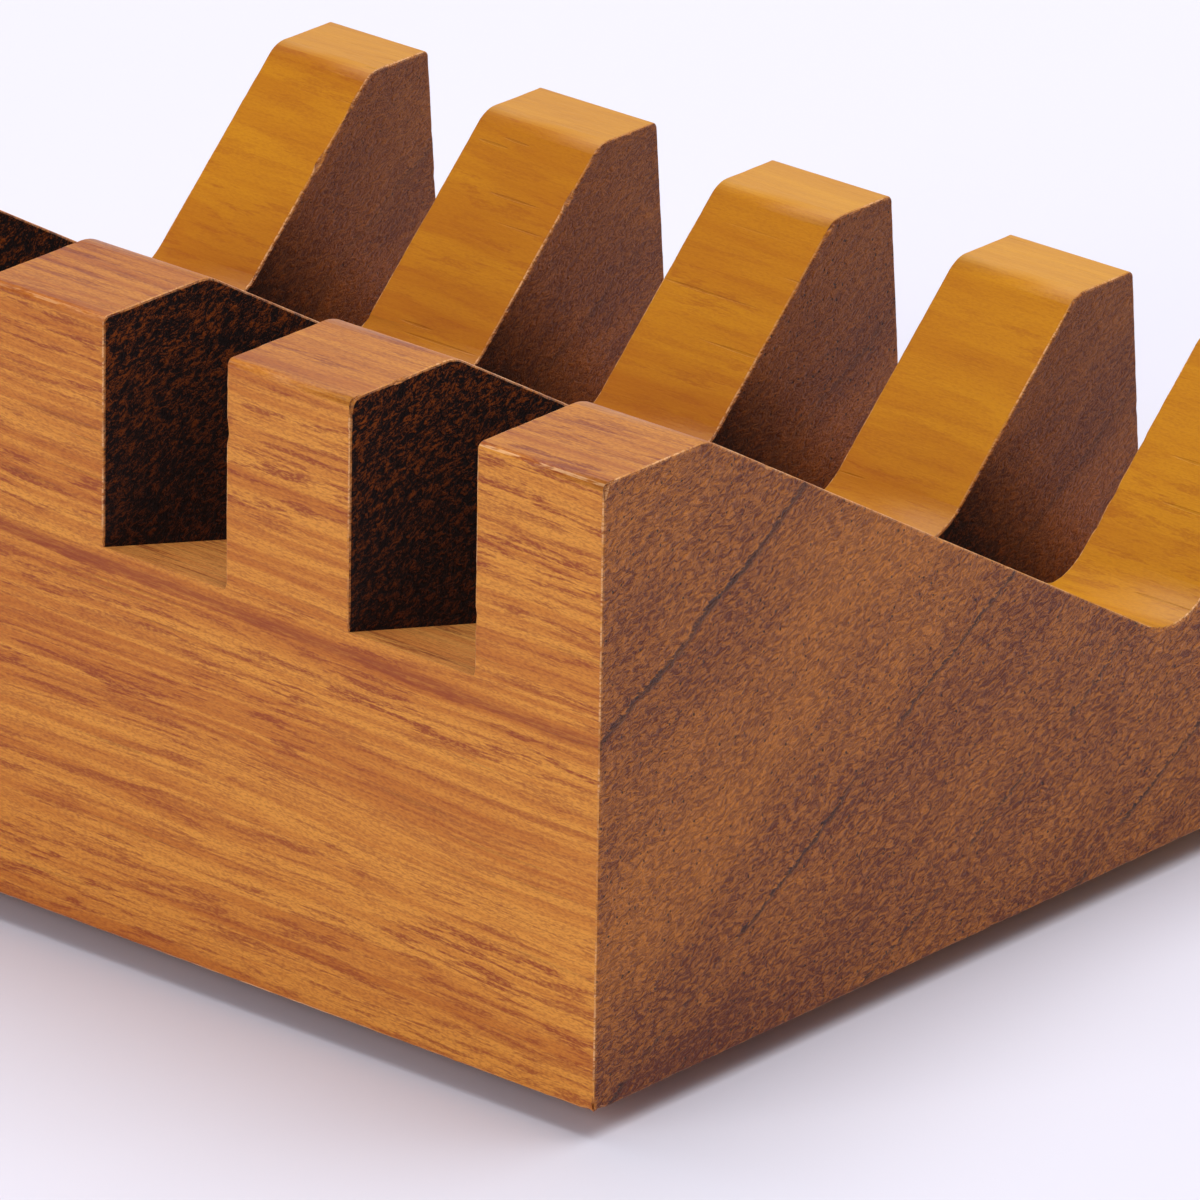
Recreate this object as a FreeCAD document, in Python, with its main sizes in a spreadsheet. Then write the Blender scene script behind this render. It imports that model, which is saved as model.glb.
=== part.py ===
"""Pick holder: one comb-cut hardwood block standing on four small rubber feet.

The block is a straight length of wood with the grain along X.  Seen from its end it is tall at the
front, falls in a slope to a rounded valley and climbs again to a lower row at the back.  Four slots
cut across it leave five teeth in each row.  A pick stands on edge in a slot, between the two rows.

Frame: X runs along the block and the grain, Y from the tall front face to the back, Z up.  The
origin is on the surface that the feet stand on, under the middle of the block.  Millimetres.
"""
import FreeCAD, Part
import math
import os
import Sketcher

from FreeCAD import Vector

# Name, value, meaning.  Lengths are in millimetres and angles in degrees.
SIZES = [
    ("block_height", 25.4, "height of the wood at its tall front face"),
    ("block_depth", 48.8, "front to back, at the underside"),
    ("tooth_width", 6.25, "width of a tooth along the block"),
    ("slot_width", 6.25, "width of a slot along the block"),
    ("end_tooth_width", 5.35, "width of the left end tooth, where the blank was trimmed"),
    ("slot_count", 4, "number of slots"),
    ("slot_depth", 9.4, "depth of a slot below the top, at the front face"),
    ("floor_slope", 14.2, "fall of a slot's floor towards the back"),
    ("ridge_flat", 5.95, "level top of the front row, front to back"),
    ("front_slope", 30.1, "fall of the slope behind the front row"),
    ("back_slope", 44.8, "climb of the slope in front of the back row"),
    ("back_row_height", 17.3, "height of the wood at the back row"),
    ("back_flat", 3.6, "level top of the back row, front to back"),
    ("back_lean", 5.3, "lean of the back face towards the front"),
    ("valley_radius", 3.0, "hollow rounding at the bottom of the valley"),
    ("ridge_radius", 2.0, "rounding from the front row's top into its slope"),
    ("brow_radius", 1.3, "rounding from the back row's slope into its top"),
    ("edge_radius", 0.3, "sanded rounding of the other long top edges"),
    ("foot_diameter", 8.0, "diameter of a rubber foot"),
    ("foot_thickness", 1.2, "height of a rubber foot"),
    ("foot_rim_radius", 0.5, "rounding of a foot's lower rim"),
    ("foot_inset", 5.0, "from the edge of the underside to the rim of a foot"),
]

# The slot's cutting outline runs this far past the block, so that it leaves no skin.
CUT_MARGIN = 2.0

# A sketch point this near to an edge's ends picks out that edge.
EDGE_REACH = 0.01

document = FreeCAD.newDocument("PickHolder")


def make_sheet():
    """Put every driving size in a spreadsheet, one row each: name, value, meaning."""
    sheet = document.addObject("Spreadsheet::Sheet", "sizes")
    for row, (name, value, meaning) in enumerate(SIZES, start=1):
        sheet.set(f"A{row}", name)
        sheet.set(f"B{row}", str(value))
        sheet.set(f"C{row}", meaning)
        sheet.setAlias(f"B{row}", name)
    document.recompute()
    return sheet


sizes = make_sheet()


def tangent(degrees):
    return math.tan(math.radians(degrees))


def origin_feature(body, role):
    """The plane or axis with this role in the body's own origin."""
    return next(item for item in body.Origin.OriginFeatures if item.Role == role)


def new_body(label):
    body = document.addObject("PartDesign::Body", label)
    body.Label = label
    return body


def new_sketch(body, name, plane_role):
    """A sketch lying on one of the body's own origin planes."""
    sketch = body.newObject("Sketcher::SketchObject", name)
    sketch.AttachmentSupport = [(origin_feature(body, plane_role), "")]
    sketch.MapMode = "FlatFace"
    return sketch


def add_outline(sketch, points):
    """Draw a closed outline of straight lines; line i runs from point i to the next one."""
    corners = [Vector(across, up, 0) for across, up in points]
    for start, end in zip(corners, corners[1:] + corners[:1]):
        sketch.addGeometry(Part.LineSegment(start, end))
    count = len(corners)
    for line in range(count):
        sketch.addConstraint(Sketcher.Constraint("Coincident", line, 2, (line + 1) % count, 1))


def drive(sketch, kind, *where, by):
    """Add a dimension to the sketch and bind it to an expression over the sheet."""
    start_value = float(sketch.evalExpression(by))
    if kind == "Angle":
        start_value = math.radians(start_value)
    index = sketch.addConstraint(Sketcher.Constraint(kind, *where, start_value))
    unit = "deg" if kind == "Angle" else "mm"
    sketch.setExpression(f"Constraints[{index}]", f"({by}) * 1 {unit}")


def profile_corners():
    """Corners of the block's end profile as (across, up), before any rounding."""
    back_top = sizes.block_depth - sizes.back_row_height * tangent(sizes.back_lean)
    brow = back_top - sizes.back_flat
    fall = tangent(sizes.front_slope)
    climb = tangent(sizes.back_slope)
    # Both slopes reach the same height at the valley, which gives its place.
    height_step = sizes.block_height - sizes.back_row_height
    valley = (height_step + sizes.ridge_flat * fall + brow * climb) / (fall + climb)
    valley_height = sizes.block_height - (valley - sizes.ridge_flat) * fall
    return {
        "front_bottom": (0, 0),
        "front_top": (0, sizes.block_height),
        "ridge": (sizes.ridge_flat, sizes.block_height),
        "valley": (valley, valley_height),
        "brow": (brow, sizes.back_row_height),
        "back_top": (back_top, sizes.back_row_height),
        "back_bottom": (sizes.block_depth, 0),
    }


def make_profile(body):
    """The sharp-cornered end profile of the block, fully dimensioned."""
    sketch = new_sketch(body, "block_profile", "YZ_Plane")
    add_outline(sketch, profile_corners().values())
    front, ridge_top, fall, climb, back_top, back, underside = range(7)
    start, end, sketch_origin = 1, 2, (-1, 1)
    sketch.addConstraint(Sketcher.Constraint("Coincident", front, start, *sketch_origin))
    sketch.addConstraint(Sketcher.Constraint("Vertical", front))
    for level_line in (ridge_top, back_top, underside):
        sketch.addConstraint(Sketcher.Constraint("Horizontal", level_line))
    drive(sketch, "DistanceY", front, start, front, end, by="sizes.block_height")
    drive(sketch, "DistanceX", ridge_top, start, ridge_top, end, by="sizes.ridge_flat")
    drive(sketch, "Angle", fall, by="-sizes.front_slope")
    drive(sketch, "Angle", climb, by="sizes.back_slope")
    drive(sketch, "DistanceX", back_top, start, back_top, end, by="sizes.back_flat")
    drive(sketch, "Angle", back, by="sizes.back_lean - 90")
    drive(sketch, "DistanceY", *sketch_origin, back_top, start, by="sizes.back_row_height")
    drive(sketch, "DistanceX", *sketch_origin, underside, start, by="sizes.block_depth")
    return sketch


def lengthwise_edge(shape, across, up):
    """Name of the straight edge along X that passes through (across, up) of the profile."""
    for number, edge in enumerate(shape.Edges, start=1):
        ends = [vertex.Point for vertex in edge.Vertexes]
        offsets = [math.hypot(point.y - across, point.z - up) for point in ends]
        if len(ends) == 2 and max(offsets) < EDGE_REACH:
            return f"Edge{number}"
    raise RuntimeError(f"no lengthwise edge at {across}, {up}")


def round_edges(body, name, corner_names, radius_name):
    """Round the lengthwise edges at these corners of the profile with one radius of the sheet."""
    base = body.Tip
    corners = profile_corners()
    edges = [lengthwise_edge(base.Shape, *corners[corner]) for corner in corner_names]
    fillet = body.newObject("PartDesign::Fillet", name)
    fillet.Base = (base, edges)
    fillet.setExpression("Radius", f"sizes.{radius_name}")
    document.recompute()


def cut_slots(body):
    """Cut the first slot beside the left end tooth, then repeat it along the block."""
    sketch = new_sketch(body, "slot_outline", "YZ_Plane")
    front, back = -CUT_MARGIN, sizes.block_depth + CUT_MARGIN
    mouth = sizes.block_height - sizes.slot_depth
    top = sizes.block_height + CUT_MARGIN
    fall = tangent(sizes.floor_slope)
    add_outline(sketch, [(front, mouth - front * fall), (front, top), (back, top), (back, mouth - back * fall)])
    front_line, top_line, back_line, floor_line = range(4)
    start, end, sketch_origin = 1, 2, (-1, 1)
    for upright_line in (front_line, back_line):
        sketch.addConstraint(Sketcher.Constraint("Vertical", upright_line))
    sketch.addConstraint(Sketcher.Constraint("Horizontal", top_line))
    drive(sketch, "DistanceX", front_line, start, *sketch_origin, by=f"{CUT_MARGIN}")
    drive(sketch, "DistanceX", *sketch_origin, back_line, start, by=f"sizes.block_depth + {CUT_MARGIN}")
    drive(sketch, "DistanceY", *sketch_origin, top_line, start, by=f"sizes.block_height + {CUT_MARGIN}")
    drive(sketch, "DistanceY", *sketch_origin, front_line, start,
          by=f"sizes.block_height - sizes.slot_depth + {CUT_MARGIN} * tan(sizes.floor_slope * 1 deg)")
    drive(sketch, "Angle", floor_line, by="180 - sizes.floor_slope")
    sketch.setExpression(".AttachmentOffset.Base.z", "sizes.end_tooth_width")
    document.recompute()

    volume_before = body.Shape.Volume
    slot = body.newObject("PartDesign::Pocket", "first_slot")
    slot.Profile = sketch
    slot.setExpression("Length", "sizes.slot_width")
    slot.Reversed = True
    document.recompute()
    if not slot.Shape.Volume < volume_before:
        raise RuntimeError("the slot cut nothing")

    slots = body.newObject("PartDesign::LinearPattern", "all_slots")
    slots.Originals = [slot]
    slots.Direction = (origin_feature(body, "X_Axis"), [""])
    slots.setExpression("Length", "(sizes.slot_count - 1) * (sizes.slot_width + sizes.tooth_width)")
    slots.setExpression("Occurrences", "sizes.slot_count")
    body.Tip = slots
    document.recompute()


BLOCK_LENGTH = "(sizes.slot_count * (sizes.slot_width + sizes.tooth_width) + sizes.end_tooth_width)"


def make_block():
    """The wooden block: profile drawn out along the grain, long edges rounded, slots cut."""
    body = new_body("block")
    blank = body.newObject("PartDesign::Pad", "blank")
    blank.Profile = make_profile(body)
    blank.setExpression("Length", BLOCK_LENGTH)
    document.recompute()
    round_edges(body, "valley_rounding", ["valley"], "valley_radius")
    round_edges(body, "ridge_rounding", ["ridge"], "ridge_radius")
    round_edges(body, "brow_rounding", ["brow"], "brow_radius")
    round_edges(body, "edge_rounding", ["front_top", "back_top"], "edge_radius")
    cut_slots(body)
    body.setExpression(".Placement.Base.x", f"-{BLOCK_LENGTH} / 2")
    body.setExpression(".Placement.Base.y", "-sizes.block_depth / 2")
    body.setExpression(".Placement.Base.z", "sizes.foot_thickness")
    return body


def make_foot(label, side, end):
    """One round rubber foot; side is -1 at the left and 1 at the right, end -1 at the front."""
    body = new_body(label)
    disc_sketch = new_sketch(body, f"{label}_outline", "XY_Plane")
    circle = disc_sketch.addGeometry(Part.Circle(Vector(0, 0, 0), Vector(0, 0, 1), sizes.foot_diameter / 2))
    disc_sketch.addConstraint(Sketcher.Constraint("Coincident", circle, 3, -1, 1))
    drive(disc_sketch, "Diameter", circle, by="sizes.foot_diameter")
    disc = body.newObject("PartDesign::Pad", f"{label}_disc")
    disc.Profile = disc_sketch
    disc.setExpression("Length", "sizes.foot_thickness")
    document.recompute()
    rims = [number for number, edge in enumerate(disc.Shape.Edges, start=1)
            if edge.Closed and abs(edge.CenterOfMass.z) < EDGE_REACH]
    rim = body.newObject("PartDesign::Fillet", f"{label}_rim")
    rim.Base = (disc, [f"Edge{number}" for number in rims])
    rim.setExpression("Radius", "sizes.foot_rim_radius")
    inset = "(sizes.foot_inset + sizes.foot_diameter / 2)"
    body.setExpression(".Placement.Base.x", f"{side} * ({BLOCK_LENGTH} / 2 - {inset})")
    body.setExpression(".Placement.Base.y", f"{end} * (sizes.block_depth / 2 - {inset})")
    return body


def make_feet():
    return [
        make_foot(f"foot_{end_name}_{side_name}", side, end)
        for end_name, end in (("front", -1), ("back", 1))
        for side_name, side in (("left", -1), ("right", 1))
    ]


def check_document(pieces):
    """Stop if any object failed to compute or any piece has no sound shape."""
    failed = [item.Name for item in document.Objects if {"Invalid", "Error"} & set(item.State)]
    if failed:
        raise RuntimeError(f"failed objects: {failed}")
    for piece in pieces:
        if piece.Shape.isNull() or not piece.Shape.isValid() or len(piece.Shape.Solids) != 1:
            raise RuntimeError(f"{piece.Label} is not one sound solid")


def export(pieces):
    os.makedirs("parts", exist_ok=True)
    for piece in pieces:
        piece.Shape.exportStep(os.path.join("parts", f"{piece.Label}.step"))
        box = piece.Shape.BoundBox
        print(f"{piece.Label}: {box.XLength:.2f} x {box.YLength:.2f} x {box.ZLength:.2f} mm, "
              f"{piece.Shape.Volume:.1f} mm3")


def main():
    pieces = [make_block(), *make_feet()]
    document.recompute()
    check_document(pieces)
    export(pieces)


main()
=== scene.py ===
"""Looks of the pick holder: the oiled hardwood block, its rubber feet and a plain studio.

Lengths in this file are millimetres where a name or comment says so, and metres otherwise.
"""

import math

import bmesh
import bpy
from mathutils import Matrix, Vector, noise


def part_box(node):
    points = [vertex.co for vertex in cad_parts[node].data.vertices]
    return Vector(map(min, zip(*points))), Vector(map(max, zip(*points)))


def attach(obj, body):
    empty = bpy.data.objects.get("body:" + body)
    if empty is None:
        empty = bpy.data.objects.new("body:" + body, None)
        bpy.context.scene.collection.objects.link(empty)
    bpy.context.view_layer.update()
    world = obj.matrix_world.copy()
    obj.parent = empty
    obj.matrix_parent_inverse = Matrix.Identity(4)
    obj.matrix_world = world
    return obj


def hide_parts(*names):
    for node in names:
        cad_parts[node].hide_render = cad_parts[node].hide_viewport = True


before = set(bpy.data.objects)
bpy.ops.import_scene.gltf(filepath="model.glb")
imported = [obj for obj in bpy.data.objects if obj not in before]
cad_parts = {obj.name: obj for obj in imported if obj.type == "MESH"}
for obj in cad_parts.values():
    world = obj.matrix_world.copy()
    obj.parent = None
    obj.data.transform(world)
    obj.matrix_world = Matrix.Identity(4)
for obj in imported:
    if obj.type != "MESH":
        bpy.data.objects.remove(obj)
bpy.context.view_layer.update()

MM = 0.001

block_low, block_high = (Vector(corner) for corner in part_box("block"))

# Places in the wood are measured from this corner: the right-hand end of the front's bottom edge.
CORNER = Vector((block_high.x, block_low.y, block_low.z))


# ---------------------------------------------------------------------------------------------
# Node graphs
# ---------------------------------------------------------------------------------------------


class Graph:
    """Short ways to write a material's node graph.  An argument is a number, a colour or a socket."""

    def __init__(self, name):
        self.material = bpy.data.materials.new(name)
        self.material.use_nodes = True
        self.tree = self.material.node_tree
        self.shader = self.tree.nodes["Principled BSDF"]

    def put(self, value, socket):
        if isinstance(value, bpy.types.NodeSocket):
            self.tree.links.new(value, socket)
        else:
            socket.default_value = value

    def node(self, kind, inputs=(), **settings):
        made = self.tree.nodes.new(kind)
        for name, value in settings.items():
            setattr(made, name, value)
        for key, value in dict(inputs).items():
            self.put(value, made.inputs[key])
        return made

    def calc(self, operation, *values, clamp=False):
        made = self.node("ShaderNodeMath", enumerate(values), operation=operation, use_clamp=clamp)
        return made.outputs[0]

    def add(self, *values):
        total = values[0]
        for value in values[1:]:
            total = self.calc("ADD", total, value)
        return total

    def times(self, *values):
        total = values[0]
        for value in values[1:]:
            total = self.calc("MULTIPLY", total, value)
        return total

    def vector(self, x, y, z):
        return self.node("ShaderNodeCombineXYZ", {"X": x, "Y": y, "Z": z}).outputs[0]

    def smooth(self, value, low, high, out_low=0.0, out_high=1.0):
        """Turns value smoothly from out_low at low to out_high at high."""
        inputs = {"Value": value, "From Min": low, "From Max": high, "To Min": out_low, "To Max": out_high}
        made = self.node("ShaderNodeMapRange", inputs, interpolation_type="SMOOTHSTEP")
        return made.outputs["Result"]

    def noise(self, vector, detail=2.0, roughness=0.5, distortion=0.0):
        """Soft noise from 0 to 1 with one feature a unit."""
        inputs = {"Vector": vector, "Scale": 1.0, "Detail": detail, "Roughness": roughness,
                  "Distortion": distortion}
        return self.node("ShaderNodeTexNoise", inputs).outputs["Fac"]

    def cells(self, vector, randomness=1.0):
        """Voronoi cells, one a unit: distance to the nearest middle, and a random colour for each."""
        made = self.node("ShaderNodeTexVoronoi", {"Vector": vector, "Scale": 1.0, "Randomness": randomness})
        return made.outputs["Distance"], made.outputs["Color"]

    def mix(self, factor, first, second, blend="MIX"):
        made = self.node("ShaderNodeMix", data_type="RGBA", blend_type=blend)
        colour_first, colour_second = 6, 7
        self.put(factor, made.inputs[0])
        self.put(first, made.inputs[colour_first])
        self.put(second, made.inputs[colour_second])
        return made.outputs[2]

    def finish(self, **sockets):
        """Sets the shader's sockets, with _ for a blank in their names, and returns the material."""
        for name, value in sockets.items():
            self.put(value, self.shader.inputs[name.replace("_", " ")])
        return self.material


def rgb(red, green, blue):
    """A colour given in the 0 to 255 steps of a screen, as linear light."""
    def linear(step):
        share = step / 255
        return share / 12.92 if share <= 0.04045 else ((share + 0.055) / 1.055) ** 2.4
    return (linear(red), linear(green), linear(blue), 1.0)


# ---------------------------------------------------------------------------------------------
# Wood
# ---------------------------------------------------------------------------------------------

# The growth layers rise towards the back by this angle, and fall along the block to the right.
LAYER_RISE = math.radians(32)
LAYER_FALL = 0.020

# Dark growth lines: how far each lies across the layers from the bottom right-hand corner of the front
# face, its half width at the right-hand end, and how much of it stays where it is faintest.
DARK_LINES = ((12.55, 0.16, 0.8), (-0.5, 0.10, 0.25), (-8.4, 0.06, 0.1), (-15.2, 0.10, 0.25))

# The lines widen by this factor from the right-hand end to this far along the block.
LINE_WIDENING, WIDE_FROM_END = 1.5, 14.0

# Broad layers: how far across the layers the middle of each lies, its half width, and how much paler
# it is than the rest, or deeper where this is negative.
BROAD_LAYERS = ((5.4, 4.0, 1.0), (-3.0, 2.5, -0.3), (20.0, 4.0, 0.4))

# Patterns in the wood: feature lengths along the grain, along the layers and across the layers,
# then the detail and the roughness of the noise.
PATTERNS = {
    "bands": ((60, 9, 2.2), 3.0, 0.55),
    "zones": ((14, 3.5, 1.7), 2.0, 0.5),
    "lines": ((26, 2.5, 0.30), 2.0, 0.6),
    "streaks": ((3.6, 0.6, 0.26), 3.0, 0.65),
    "vessels": ((12, 0.5, 0.20), 1.0, 0.5),
    "fibres": ((1.1, 0.15, 0.10), 2.0, 0.75),
    "silk": ((0.20, 0.07, 0.06), 1.0, 0.5),
    "clumps": ((3.0, 0.6, 0.34), 1.0, 0.5),
}

# Ripples of the end grain lie a little flatter than the layers: by this slope, and of these lengths.
RIPPLE_SLOPE = 0.27
RIPPLE_LENGTHS = (3.0, 0.36, 0.16)

# Pores: their length along the grain and the spacing between them, in millimetres.
PORE_LENGTH, PORE_SPACING = 20.0, 0.36

# Oiled long grain at the front, the yellower long grain behind, end grain, near-black painted shade on the
# slot walls, painted light on the slot floors, pores, arrises that are paler from wear and from a painted
# highlight, then painted shade and painted light on the tops.
LONG_LIGHT, LONG_DEEP, LONG_STREAK = rgb(220, 146, 52), rgb(190, 109, 28), rgb(142, 58, 9)
GOLD_LIGHT, GOLD_DEEP, GOLD_STREAK = rgb(203, 135, 10), rgb(179, 105, 0), rgb(158, 80, 6)
END_GROUND, END_FLECK, END_LINE = rgb(100, 38, 12), rgb(212, 128, 42), rgb(46, 22, 22)
WALL_SHADE, WALL_SHADE_FLECK = rgb(16, 0, 0), rgb(156, 72, 6)
FLOOR_PAINTED_LIGHT, FLOOR_PAINTED_LIGHT_DEEP = rgb(252, 186, 110), rgb(238, 154, 82)
PORE, WORN_AND_HIGHLIGHT = rgb(34, 10, 6), rgb(240, 184, 128)
TOP_PAINTED_SHADE, TOP_PAINTED_LIGHT = (0.77, 0.69, 0.42, 1.0), rgb(222, 162, 48)

# From the front of the block, where the wood starts to turn yellower and where it has turned.
GOLD_STARTS, GOLD_ENDS = 14.0, 32.0

# Painted shade on the walls of a slot, darkest at the front and low down: distance from the front plus
# WALL_UP_WEIGHT times the height, where the painted shade starts to lift and where it is at its least.
WALL_UP_WEIGHT = 0.8
WALL_LIGHTENS, WALL_LIGHT = 43.0, 51.0

# Up to this height the wood of the front is deeper in colour and has more streaks.  The deeper colour
# also ends behind the front, where half the distance from the front counts as height.
LOW_REACH = 11.0


def grain_axes(graph):
    """Place in the wood, in millimetres: along, along the layers and across them, then back and up."""
    place = graph.node("ShaderNodeTexCoord").outputs["Object"]
    moved = graph.node("ShaderNodeVectorMath", {0: place, 1: -CORNER}, operation="ADD").outputs[0]
    scaled = graph.node("ShaderNodeVectorMath", {0: moved, "Scale": 1 / MM}, operation="SCALE").outputs[0]
    along, back, up = graph.node("ShaderNodeSeparateXYZ", {0: scaled}).outputs
    rise_cos, rise_sin = math.cos(LAYER_RISE), math.sin(LAYER_RISE)
    tangential = graph.add(graph.times(back, rise_cos), graph.times(up, rise_sin))
    radial = graph.add(graph.times(up, rise_cos), graph.times(back, -rise_sin),
                       graph.times(along, LAYER_FALL))
    return (along, tangential, radial), back, up


def stretched_noise(graph, axes, lengths, detail=2.0, roughness=0.5, seed=0.0, distortion=0.0):
    """Noise whose features are about lengths long, in millimetres, along the three grain axes."""
    scaled = [graph.times(axis, 1 / length) for axis, length in zip(axes, lengths)]
    scaled[0] = graph.add(scaled[0], seed)
    return graph.noise(graph.vector(*scaled), detail, roughness, distortion)


def wandering_layers(graph, along, tangential, radial):
    """The distance across the layers, made to wander as the layers of real wood do."""
    steps = (((24, 8, 8), 1.3), ((9, 1.8, 1.8), 0.28), ((5, 0.5, 0.5), 0.2))
    wandering = radial
    for index, (lengths, amount) in enumerate(steps):
        wander = stretched_noise(graph, (along, tangential, radial), lengths, 1.0, seed=9.0 * index)
        wandering = graph.add(wandering, graph.times(graph.add(wander, -0.5), amount))
    return wandering


def dark_lines(graph, axes, patches):
    """A mask from 0 to 1 that is high on the dark growth lines."""
    along, _, radial = axes
    widening = graph.smooth(along, -WIDE_FROM_END, 0.0, LINE_WIDENING, 1.0)
    masks = 0.0
    for height, half_width, faintest in DARK_LINES:
        offset = graph.calc("DIVIDE", graph.add(radial, -height), graph.times(widening, half_width))
        line = graph.smooth(graph.calc("EXPONENT", graph.times(offset, offset, -1.0)), 0.15, 0.85)
        line = graph.times(line, graph.smooth(patches, 0.36, 0.54, faintest, 1.0))
        masks = graph.calc("MAXIMUM", line, masks)
    return masks


def broad_layers(graph, axes):
    """How much paler the wood is in its broad layers."""
    total = 0.0
    for middle, half_width, paleness in BROAD_LAYERS:
        offset = graph.times(graph.add(axes[2], -middle), 1 / half_width)
        layer = graph.calc("EXPONENT", graph.times(offset, offset, -1.0))
        total = graph.add(graph.times(layer, paleness), total)
    return total


def long_grain(graph, pattern, dark, pale, place, slot_floor_face):
    """Colour along the grain, and the mask of its streaks: bands, spindle-shaped streaks, vessels."""
    along, back, up = place
    gold = graph.smooth(back, GOLD_STARTS, GOLD_ENDS)
    fading = graph.smooth(back, GOLD_STARTS, GOLD_ENDS, 1.0, 0.5)
    deep = graph.add(graph.smooth(pattern["bands"], 0.36, 0.64, 0.0, 0.55), graph.times(pale, -0.26),
                     # Painted shade: the colour deepens towards the left-hand end of the block, where the
                     # light falls off.
                     graph.smooth(along, -30, 0, 0.18, -0.12),
                     graph.times(graph.smooth(pattern["lines"], 0.34, 0.66, -0.2, 0.66), fading))
    gathered = graph.calc("MAXIMUM", graph.smooth(pattern["zones"], 0.38, 0.60, 0.3, 1.0),
                          graph.smooth(up, 3, LOW_REACH, 0.8, 0.0))
    streak = graph.times(graph.smooth(pattern["streaks"], 0.50, 0.61), gathered, fading)
    vessel = graph.times(graph.smooth(pattern["vessels"], 0.60, 0.70, 0.0, 0.5), fading)
    broken = graph.smooth(pattern["silk"], 0.3, 0.6, 0.5, 0.9)
    drawn = graph.times(graph.calc("MAXIMUM", streak, vessel), broken)
    stain = graph.mix(gold, LONG_STREAK, GOLD_STREAK)
    colour = graph.mix(deep, graph.mix(gold, LONG_LIGHT, GOLD_LIGHT), graph.mix(gold, LONG_DEEP, GOLD_DEEP))
    # Painted light on the slot floors: paler at their front, fading further back.
    painted_floor_light = graph.times(slot_floor_face, graph.smooth(back, 4, 16, 0.85, 0.2))
    colour = graph.mix(painted_floor_light, colour, graph.mix(deep, FLOOR_PAINTED_LIGHT, FLOOR_PAINTED_LIGHT_DEEP))
    colour = graph.mix(drawn, colour, stain)
    dark_share = graph.times(dark, graph.smooth(pattern["fibres"], 0.3, 0.6, 0.5, 0.85),
                             graph.smooth(slot_floor_face, 0, 1, 1.0, 0.3))
    colour = graph.mix(dark_share, colour, LONG_STREAK)
    speckle = graph.add(graph.smooth(pattern["fibres"], 0.35, 0.75, 0.0, 0.22),
                        graph.smooth(pattern["silk"], 0.35, 0.70, -0.10, 0.30))
    return graph.mix(graph.times(speckle, fading), colour, stain), streak


def end_grain_colour(graph, pattern, ripples, dark, pale, up, painted_wall_shade):
    """Colour across the grain: pale ripples in lighter and darker bands, and near-black painted shade on the
    walls of a slot.
    """
    ripple_depth = graph.smooth(painted_wall_shade, 0.0, 0.12, 1.0, 0.5)
    share = graph.add(0.26, graph.times(graph.smooth(ripples, 0.34, 0.68, -0.32, 0.32), ripple_depth),
                      graph.times(pale, 0.19),
                      graph.smooth(pattern["bands"], 0.34, 0.66, 0.18, 0.0),
                      graph.smooth(pattern["silk"], 0.3, 0.7, -0.12, 0.14))
    colour = graph.mix(share, END_GROUND, END_FLECK)
    colour = graph.mix(graph.times(dark, graph.smooth(painted_wall_shade, 0.0, 0.12, 0.8, 0.3)), colour, END_LINE)
    # Paler flecks of end grain in the near-black painted shade of the slot walls, more of them higher up.
    fleck = graph.add(ripples, graph.times(pattern["silk"], 0.5), graph.times(pattern["clumps"], 0.45))
    fleck = graph.smooth(fleck, 0.91, 1.24)
    fleck = graph.times(fleck, graph.smooth(up, 15, 26, 0.3, 1.0))
    return graph.mix(painted_wall_shade, colour, graph.mix(fleck, WALL_SHADE, WALL_SHADE_FLECK))


def pores(graph, axes):
    """A mask from 0 to 1 that is high on the pores: dots across the grain, thin lines along it."""
    along, tangential, radial = axes
    place = graph.vector(graph.times(along, 1 / PORE_LENGTH), graph.times(tangential, 1 / PORE_SPACING),
                         graph.times(radial, 1 / PORE_SPACING))
    distance, random_colour = graph.cells(place)
    chosen = graph.node("ShaderNodeSeparateColor", {0: random_colour}).outputs[0]
    return graph.times(graph.smooth(distance, 0.12, 0.19, 1.0, 0.0), graph.smooth(chosen, 0.5, 0.6))


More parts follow.
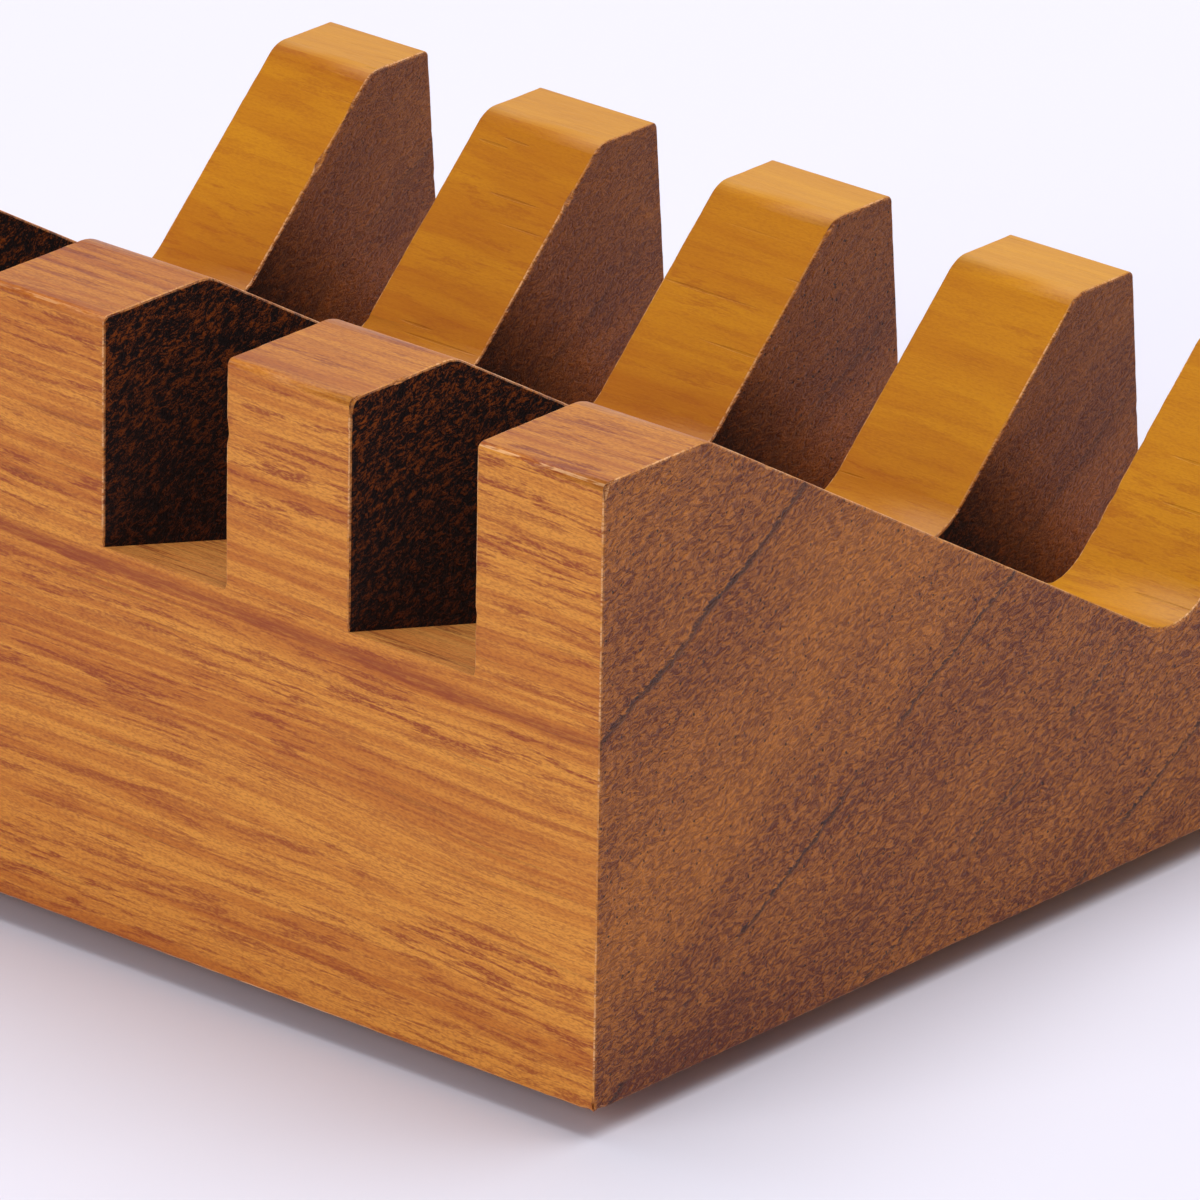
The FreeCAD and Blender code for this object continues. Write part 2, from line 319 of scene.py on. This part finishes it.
def wood():
    graph = Graph("oiled_hardwood")
    straight_axes, back, up = grain_axes(graph)
    along, tangential, _ = straight_axes
    axes = (along, tangential, wandering_layers(graph, *straight_axes))
    pattern = {name: stretched_noise(graph, axes, *shape, seed=11.0 * index)
               for index, (name, shape) in enumerate(PATTERNS.items())}
    flatter = (along, tangential, graph.add(axes[2], graph.times(tangential, RIPPLE_SLOPE)))
    ripples = stretched_noise(graph, flatter, RIPPLE_LENGTHS, 2.0, 0.65, seed=53.0, distortion=0.9)

    normal = graph.node("ShaderNodeNewGeometry").outputs["True Normal"]
    sideways, _, upwards = graph.node("ShaderNodeSeparateXYZ", {0: normal}).outputs
    end_grain = graph.smooth(graph.calc("ABSOLUTE", sideways), 0.35, 0.85)
    shaded_slot_wall, slot_floor_face, arris = (graph.node("ShaderNodeAttribute", attribute_name=name).outputs["Fac"]
                                    for name in ("shaded_slot_wall", "slot_floor_face", "arris"))

    fraying = graph.mix(end_grain, pattern["streaks"], ripples)
    frayed = graph.add(axes[2], graph.times(graph.add(fraying, -0.5), 0.7))
    dark = dark_lines(graph, (along, tangential, frayed), pattern["zones"])
    pale = broad_layers(graph, axes)
    pale = graph.add(pale, graph.smooth(graph.add(up, graph.times(back, 0.5)), 0, LOW_REACH, -1.0, 0.0))
    wall_place = graph.add(back, graph.times(up, WALL_UP_WEIGHT))
    # Painted shade on the slot walls: darkest at the front and low down, lighter further back and higher up.
    painted_wall_shade = graph.times(shaded_slot_wall, graph.smooth(wall_place, WALL_LIGHTENS, WALL_LIGHT, 1.0, 0.12))
    long_colour, streak = long_grain(graph, pattern, dark, pale, (along, back, up), slot_floor_face)
    end_colour = end_grain_colour(graph, pattern, ripples, dark, pale, up, painted_wall_shade)
    colour = graph.mix(end_grain, long_colour, end_colour)

    # Painted shade darkens the tops of the front row a little, and painted light makes those of the back row
    # paler.
    top = graph.smooth(upwards, 0.9, 0.98)
    colour = graph.mix(graph.times(top, graph.smooth(back, 10, 18, 0.9, 0.0)), colour, TOP_PAINTED_SHADE, "MULTIPLY")
    colour = graph.mix(graph.times(top, graph.smooth(back, 38, 43, 0.0, 0.35)), colour, TOP_PAINTED_LIGHT)

    pore = pores(graph, axes)
    colour = graph.mix(graph.times(pore, graph.smooth(end_grain, 0, 1, 0.12, 0.85)), colour, PORE)

    # Arrises are paler in patches, partly from wear and partly as a painted highlight along the edge.
    wear_and_highlight = graph.times(arris, graph.smooth(pattern["fibres"], 0.38, 0.58, 0.05, 1.0),
                       graph.smooth(pattern["zones"], 0.42, 0.58, 0.2, 0.75),
                       graph.smooth(end_grain, 0, 1, 1.0, 0.3))
    colour = graph.mix(wear_and_highlight, colour, WORN_AND_HIGHLIGHT)

    relief = graph.add(graph.times(streak, -0.35), graph.times(pattern["fibres"], 0.5),
                       graph.times(pore, -1.2), graph.times(ripples, end_grain, 10.0))
    bump = graph.node("ShaderNodeBump", {"Strength": 0.6, "Distance": 0.03 * MM, "Height": relief})
    roughness = graph.add(0.36, graph.times(pattern["fibres"], 0.1), graph.times(painted_wall_shade, 0.6),
                          graph.times(slot_floor_face, 0.3))
    return graph.finish(Base_Color=colour, Roughness=roughness, Normal=bump.outputs[0],
                        Specular_IOR_Level=0.3)


# ---------------------------------------------------------------------------------------------
# Block
# ---------------------------------------------------------------------------------------------

# Edges that turn by more than SHARP are eased by ARRIS, then worn and chipped in steps along them.
SHARP = math.radians(28)
ARRIS = 0.08 * MM
ARRIS_STEP = 0.35 * MM
WEAR_DEPTH = 0.03 * MM
CHIP_DEPTH = 0.22 * MM
CHIP_RARITY = 0.40

# The floors of the slots are the only faces that look up and are larger than this.
SLOT_FLOOR_AREA = 100 * MM * MM

# The CAD node draws its roundings in strips.  Those over the long top edges are narrower than this, and
# their normals rise by between these two shares.
STRIP_WIDTH = 0.1 * MM
STRIP_RISES = (0.5, 0.85)

# A face looks along an axis where its normal's share along it is more than this.
LOOKS_ALONG = 0.9

# Faces of the CAD node that turn by less than FLAT are one face, and points nearer than WELD are one.
FLAT = math.radians(0.5)
WELD = 0.0005 * MM

# Nicks where a corner has lost a splinter: place from the right-hand front corner of the underside,
# reach and depth, all in millimetres.
NICKS = (((0.0, 0.0, 25.2), 0.45, 0.22), ((0.0, 0.1, 0.0), 0.5, 0.16), ((-12.5, 0.1, 25.2), 0.3, 0.12),
         ((-18.75, 0.0, 22.4), 0.35, 0.08), ((-50.2, 40.5, 14.2), 0.5, 0.12))


def cut_edge(edge, step):
    """Adds vertices along an edge so that no part of it is longer than step."""
    newest = edge.verts[0]
    for parts in range(math.ceil(edge.calc_length() / step), 1, -1):
        _, newest = bmesh.utils.edge_split(edge, newest, 1 / parts)


def wear_depth(place):
    """How far the wood is worn away at a place on an arris."""
    fine = 0.5 + 0.5 * noise.noise(place * (1.9 / MM))
    chip = max(0.0, noise.noise(place * (0.9 / MM) + Vector((5, 9, 2))) - CHIP_RARITY)
    depth = WEAR_DEPTH * fine + CHIP_DEPTH * chip
    for nick, reach, nick_depth in NICKS:
        away = (place - CORNER - Vector(nick) * MM).length / (reach * MM)
        depth += nick_depth * MM * max(0.0, 1 - away * away) * (0.6 + 0.6 * fine)
    return depth


def wear_arrises(arris_faces):
    """Lowers the crest of each arris, and slides its two borders outwards over the flat faces."""
    moves = []
    for vert in {vert for face in arris_faces for vert in face.verts}:
        flats = [face for face in vert.link_faces if face not in arris_faces]
        depth = wear_depth(vert.co)
        if not flats:
            moves.append((vert, vert.normal * -depth))
        elif len(flats) == 1 and len(vert.link_edges) == 3:
            crest = next(edge.other_vert(vert) for edge in vert.link_edges
                         if flats[0] not in edge.link_faces)
            away = vert.co - crest.co
            away -= flats[0].normal * away.dot(flats[0].normal)
            moves.append((vert, away.normalized() * depth))
    for vert, step in moves:
        vert.co += step


def arris_edges(shape, floor):
    """The edges to ease: the sharp ones that don't border the floor of a slot."""
    return [edge for edge in shape.edges
            if edge.calc_face_angle(0) > SHARP and not any(face[floor] for face in edge.link_faces)]


def block_piece(material):
    """The block with eased and slightly ragged arrises, made from the shape of its CAD node."""
    shape = bmesh.new()
    shape.from_mesh(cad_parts["block"].data)
    bmesh.ops.remove_doubles(shape, verts=shape.verts, dist=WELD)
    bmesh.ops.dissolve_limit(shape, angle_limit=FLAT, verts=shape.verts, edges=shape.edges)
    wall, floor, wear_and_highlight = (shape.faces.layers.float.new(name) for name in ("shaded_slot_wall", "slot_floor_face", "arris"))
    for face in shape.faces:
        inside = abs(face.calc_center_median().x) < block_high.x - 1 * MM
        width = 2 * face.calc_area() / face.calc_perimeter()
        # Faces of the slot walls take painted shade in the wood.
        face[wall] = float(abs(face.normal.x) > LOOKS_ALONG and inside)
        # The large slot floors take painted light in the wood.
        face[floor] = float(face.normal.z > LOOKS_ALONG and face.calc_area() > SLOT_FLOOR_AREA)
        face[wear_and_highlight] = float(STRIP_RISES[0] < face.normal.z < STRIP_RISES[1] and width < STRIP_WIDTH)
    for edge in arris_edges(shape, floor):
        cut_edge(edge, ARRIS_STEP)
    made = bmesh.ops.bevel(shape, geom=arris_edges(shape, floor), offset=ARRIS, segments=2, profile=0.5,
                           affect="EDGES", clamp_overlap=True)
    arris_faces = set(made["faces"])
    shape.normal_update()
    wear_arrises(arris_faces)
    for face in arris_faces:
        face[wall], face[floor], face[wear_and_highlight] = 0.0, 0.0, 1.0
    mesh = bpy.data.meshes.new("block_wood")
    shape.to_mesh(mesh)
    shape.free()
    piece = bpy.data.objects.new("block_wood", mesh)
    bpy.context.scene.collection.objects.link(piece)
    mesh.materials.append(material)
    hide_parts("block")
    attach(piece, "root")
    return piece


# ---------------------------------------------------------------------------------------------
# Feet
# ---------------------------------------------------------------------------------------------


# Grains of the rubber's surface in a millimetre.
RUBBER_GRAINS = 6


def rubber():
    graph = Graph("foot_rubber")
    place = graph.node("ShaderNodeTexCoord").outputs["Object"]
    scale = RUBBER_GRAINS / MM
    scaled = graph.node("ShaderNodeVectorMath", {0: place, "Scale": scale}, operation="SCALE").outputs[0]
    grain = graph.noise(scaled, detail=3.0)
    colour = graph.mix(grain, rgb(38, 37, 38), rgb(58, 56, 57))
    bump = graph.node("ShaderNodeBump", {"Strength": 0.4, "Distance": 0.02 * MM, "Height": grain})
    return graph.finish(Base_Color=colour, Roughness=graph.smooth(grain, 0.2, 0.8, 0.55, 0.75),
                        Normal=bump.outputs[0])


# Outline of a foot from the middle of its underside to the middle of its top: shares of the radius
# and of the thickness.  The underside is slightly dished and the side bulges a little under load.
FOOT_OUTLINE = ((0.0, 0.10), (0.45, 0.09), (0.70, 0.05), (0.80, 0.0), (0.88, 0.0), (0.93, 0.05),
                (0.97, 0.15), (0.99, 0.28), (1.0, 0.45), (0.995, 0.65), (0.98, 0.85), (0.965, 1.0),
                (0.5, 1.0), (0.0, 1.0))
FOOT_STEPS = 72


def foot_piece(name, material):
    """A soft stick-on foot, turned from its outline inside the box of its CAD node."""
    low, high = (Vector(corner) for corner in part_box(name))
    middle = (low + high) / 2
    radius, thickness = (high.x - low.x) / 2, high.z - low.z
    shape = bmesh.new()
    rings = []
    for out_share, up_share in FOOT_OUTLINE:
        steps = FOOT_STEPS if out_share else 1
        turns = [2 * math.pi * step / steps for step in range(steps)]
        out, up = out_share * radius, low.z + up_share * thickness
        ring = [(middle.x + out * math.cos(turn), middle.y + out * math.sin(turn), up) for turn in turns]
        rings.append([shape.verts.new(place) for place in ring])
    for inner, outer in zip(rings, rings[1:]):
        for step in range(FOOT_STEPS):
            after = (step + 1) % FOOT_STEPS
            corners = [inner[step % len(inner)], outer[step % len(outer)],
                       outer[after % len(outer)], inner[after % len(inner)]]
            face = shape.faces.new(list(dict.fromkeys(corners)))
            face.smooth = True
    bmesh.ops.recalc_face_normals(shape, faces=shape.faces)
    mesh = bpy.data.meshes.new(name + "_rubber")
    shape.to_mesh(mesh)
    shape.free()
    mesh.materials.append(material)
    piece = bpy.data.objects.new(name + "_rubber", mesh)
    bpy.context.scene.collection.objects.link(piece)
    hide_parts(name)
    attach(piece, "root")


# ---------------------------------------------------------------------------------------------
# Studio
# ---------------------------------------------------------------------------------------------


# From the middle of the floor to its sides, in metres.
FLOOR_REACH = 3.0


def add_floor():
    graph = Graph("paper")
    material = graph.finish(Base_Color=rgb(228, 226, 238), Roughness=0.9)
    mesh = bpy.data.meshes.new("floor")
    reach = FLOOR_REACH
    corners = [(-reach, -reach, 0), (reach, -reach, 0), (reach, reach, 0), (-reach, reach, 0)]
    mesh.from_pydata(corners, [], [(0, 1, 2, 3)])
    mesh.materials.append(material)
    floor = bpy.data.objects.new("floor", mesh)
    bpy.context.scene.collection.objects.link(floor)


def add_area_light(name, place, size, power, colour=(1.0, 1.0, 1.0)):
    """A square soft light that faces the block."""
    lamp = bpy.data.lights.new(name, "AREA")
    lamp.size = size
    lamp.energy = power
    lamp.color = colour
    holder = bpy.data.objects.new(name, lamp)
    holder.location = place
    holder.rotation_euler = (-Vector(place)).to_track_quat("-Z", "Y").to_euler()
    bpy.context.scene.collection.objects.link(holder)


def add_lights():
    world = bpy.data.worlds.new("studio")
    world.use_nodes = True
    background = world.node_tree.nodes["Background"]
    background.inputs["Color"].default_value = (0.93, 0.93, 1.0, 1.0)
    background.inputs["Strength"].default_value = 0.31
    bpy.context.scene.world = world
    add_area_light("overhead", (0.05, 0.2, 0.9), 1.0, 9.3)
    add_area_light("front", (-0.2, -0.9, 0.35), 0.6, 3.9)
    add_area_light("back", (-0.9, 1.2, 0.45), 1.4, 3.0)


# The camera stands far off with a long lens.  Angles are in degrees.
VIEW_AZIMUTH = 40.31
VIEW_ELEVATION = 22.33
VIEW_ROLL = 0.95
VIEW_DISTANCE = 516.9 * MM
LENS = 419.8
SENSOR = 36.0


def add_camera():
    data = bpy.data.cameras.new("camera")
    data.sensor_width = SENSOR
    data.lens = LENS
    camera = bpy.data.objects.new("camera", data)
    azimuth, elevation = math.radians(VIEW_AZIMUTH), math.radians(VIEW_ELEVATION)
    towards_camera = Vector((math.sin(azimuth) * math.cos(elevation),
                             -math.cos(azimuth) * math.cos(elevation), math.sin(elevation)))
    turn = (-towards_camera).to_track_quat("-Z", "Y").to_matrix()
    roll = Matrix.Rotation(math.radians(VIEW_ROLL), 3, "Z")
    camera_matrix = (turn @ roll).to_4x4()
    camera_matrix.translation = aim_point() + towards_camera * VIEW_DISTANCE
    camera.matrix_world = camera_matrix
    bpy.context.scene.collection.objects.link(camera)
    bpy.context.scene.camera = camera


def aim_point():
    """The middle of the picture: just beside the tall corner, four fifths of the way up."""
    return CORNER + Vector((-0.13, 0.0, 20.77)) * MM


block_piece(wood())
foot_material = rubber()
for node_name in sorted(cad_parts):
    if node_name.startswith("foot_"):
        foot_piece(node_name, foot_material)
add_floor()
add_lights()
add_camera()
bpy.context.scene.view_settings.view_transform = "Standard"
